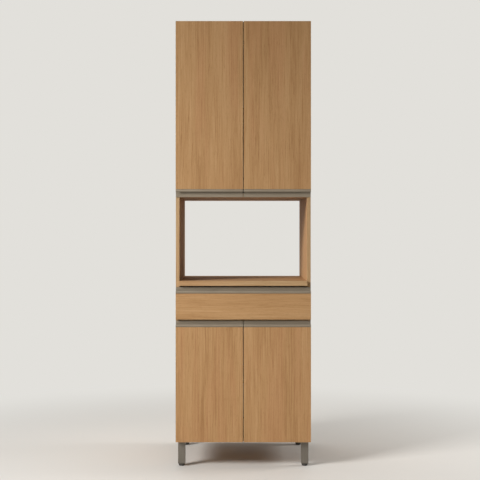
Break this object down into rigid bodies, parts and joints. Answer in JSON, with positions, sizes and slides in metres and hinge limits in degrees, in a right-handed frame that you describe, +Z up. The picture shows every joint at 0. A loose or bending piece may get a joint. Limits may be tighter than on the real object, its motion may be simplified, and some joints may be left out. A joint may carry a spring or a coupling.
{
  "type": "tall oven housing unit",
  "caption": "Tall oven housing with doors above and below, an open appliance niche and a drawer, on square metal legs.",
  "frame": {"origin": "on the floor, under the middle of the unit's width and depth", "axes": "+Z up, +X to the right as seen from the front, +Y to the back; the doors face -Y"},
  "size_m": [0.6, 0.58, 1.978],
  "materials": {
    "oak_laminate": "satin light oak laminate with fine straight grain",
    "oak_edge_band": "satin oak-coloured edge band",
    "white_board": "matt off-white melamine face",
    "aluminium_profile": "satin anodised, brushed along its length",
    "leg_metal": "satin grey",
    "nickel_steel": "nickel plated",
    "zinc_steel": "bright zinc plated",
    "beech": "raw fluted beech",
    "black_plastic": "matt black",
    "bumper": "soft translucent grey"
  },
  "bodies": {
    "carcass": {"side_panel_left": "oak_laminate", "side_panel_right": "oak_laminate", "bottom_panel": "oak_laminate", "divider_rail_front": "oak_laminate", "divider_rail_rear": "oak_laminate", "niche_floor_panel": "oak_laminate", "niche_ceiling_panel": "oak_laminate", "top_panel": "oak_laminate", "top_front_rail": "oak_laminate", "wall_fixing_rail": "oak_laminate", "lower_shelf": "oak_laminate", "upper_shelf": "oak_laminate", "back_panel_lower": "white_board", "back_panel_upper": "white_board", "carcass_edge_bands": "oak_edge_band", "shelf_pins": "nickel_steel", "cam_discs": "zinc_steel", "cam_bolts": "zinc_steel", "wood_dowels": "beech", "door_bumpers": "bumper", "leg_tubes": "leg_metal", "leg_plates": "leg_metal", "leg_inserts": "black_plastic", "leg_screws": "zinc_steel", "hinge_arms": "nickel_steel", "hinge_plates": "nickel_steel", "hinge_plate_screws": "zinc_steel", "runner_cabinet_members": "zinc_steel", "runner_screws": "zinc_steel"},
    "upper_left_door": {"upper_left_door_board": "oak_laminate", "upper_left_door_edging": "oak_edge_band", "upper_left_door_handle": "aluminium_profile", "upper_left_door_cups": "nickel_steel"},
    "upper_right_door": {"upper_right_door_board": "oak_laminate", "upper_right_door_edging": "oak_edge_band", "upper_right_door_handle": "aluminium_profile", "upper_right_door_cups": "nickel_steel"},
    "lower_left_door": {"lower_left_door_board": "oak_laminate", "lower_left_door_edging": "oak_edge_band", "lower_left_door_handle": "aluminium_profile", "lower_left_door_cups": "nickel_steel"},
    "lower_right_door": {"lower_right_door_board": "oak_laminate", "lower_right_door_edging": "oak_edge_band", "lower_right_door_handle": "aluminium_profile", "lower_right_door_cups": "nickel_steel"},
    "drawer": {"drawer_front_board": "oak_laminate", "drawer_front_edging": "oak_edge_band", "drawer_handle": "aluminium_profile", "drawer_box_front": "white_board", "drawer_sides": "white_board", "drawer_back": "white_board", "drawer_bottom": "white_board", "drawer_screws": "zinc_steel", "runner_drawer_members": "zinc_steel"},
    "runner_middle_left": {"runner_middle_left": "zinc_steel"},
    "runner_middle_right": {"runner_middle_right": "zinc_steel"},
    "foot_front_left": {"foot_front_left": "black_plastic"},
    "foot_front_right": {"foot_front_right": "black_plastic"},
    "foot_rear_left": {"foot_rear_left": "black_plastic"},
    "foot_rear_right": {"foot_rear_right": "black_plastic"}
  },
  "joints": [
    {"name": "upper_left_door_hinge", "type": "hinge", "parent": "carcass", "child": "upper_left_door", "pos_m": [-0.2945, -0.281, 1.588], "axis": [0, 0, -1], "range_deg": [0, 105]},
    {"name": "upper_right_door_hinge", "type": "hinge", "parent": "carcass", "child": "upper_right_door", "pos_m": [0.2945, -0.281, 1.588], "axis": [0, 0, 1], "range_deg": [0, 105]},
    {"name": "lower_left_door_hinge", "type": "hinge", "parent": "carcass", "child": "lower_left_door", "pos_m": [-0.2945, -0.281, 0.38], "axis": [0, 0, -1], "range_deg": [0, 105]},
    {"name": "lower_right_door_hinge", "type": "hinge", "parent": "carcass", "child": "lower_right_door", "pos_m": [0.2945, -0.281, 0.38], "axis": [0, 0, 1], "range_deg": [0, 105]},
    {"name": "drawer_slide", "type": "slide", "parent": "carcass", "child": "drawer", "axis": [0, -1, 0], "range_m": [0, 0.5]},
    {"name": "runner_middle_left_slide", "type": "slide", "parent": "carcass", "child": "runner_middle_left", "axis": [0, -1, 0], "range_m": [0, 0.25]},
    {"name": "runner_middle_right_slide", "type": "slide", "parent": "carcass", "child": "runner_middle_right", "axis": [0, -1, 0], "range_m": [0, 0.25]},
    {"name": "foot_front_left_screw", "type": "slide", "parent": "carcass", "child": "foot_front_left", "axis": [0, 0, -1], "range_m": [0, 0.015]},
    {"name": "foot_front_right_screw", "type": "slide", "parent": "carcass", "child": "foot_front_right", "axis": [0, 0, -1], "range_m": [0, 0.015]},
    {"name": "foot_rear_left_screw", "type": "slide", "parent": "carcass", "child": "foot_rear_left", "axis": [0, 0, -1], "range_m": [0, 0.015]},
    {"name": "foot_rear_right_screw", "type": "slide", "parent": "carcass", "child": "foot_rear_right", "axis": [0, 0, -1], "range_m": [0, 0.015]}
  ],
  "couplings": [
    {"joint": "runner_middle_left_slide", "follows": "drawer_slide", "ratio": 0.5},
    {"joint": "runner_middle_right_slide", "follows": "drawer_slide", "ratio": 0.5}
  ]
}
